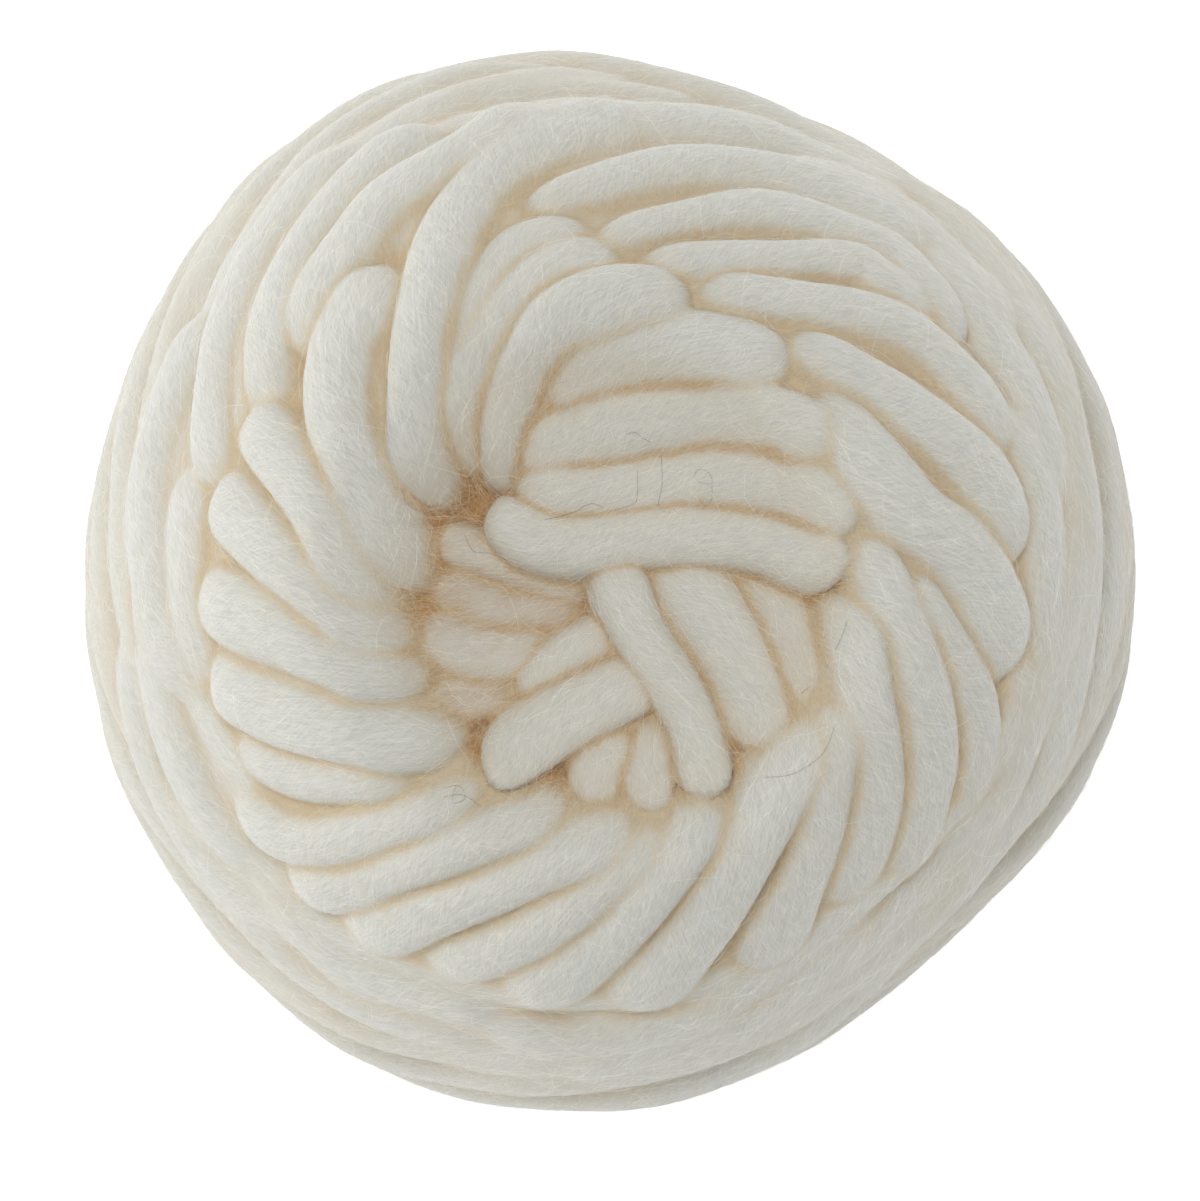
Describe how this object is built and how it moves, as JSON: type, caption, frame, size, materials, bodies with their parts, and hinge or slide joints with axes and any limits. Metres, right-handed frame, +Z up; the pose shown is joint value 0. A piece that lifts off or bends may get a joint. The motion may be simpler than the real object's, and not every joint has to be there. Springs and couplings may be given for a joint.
{
  "type": "ball of yarn",
  "caption": "Wound ball of thick, soft, single-ply undyed wool yarn: a slanting ring of strands round a filled middle on top, level loops at the sides, and a small flat spot to rest on.",
  "frame": {"origin": "on the surface that the ball rests on, under the middle of its outline", "axes": "+Z up out of the wound end that the picture shows, +X to the right and +Y to the top of the picture"},
  "size_m": [0.1196, 0.1208, 0.0958],
  "materials": {
    "wool": "matte, softly fuzzy, undyed off-white wool"
  },
  "bodies": {
    "root": {"yarn_ball": "wool"}
  },
  "joints": []
}
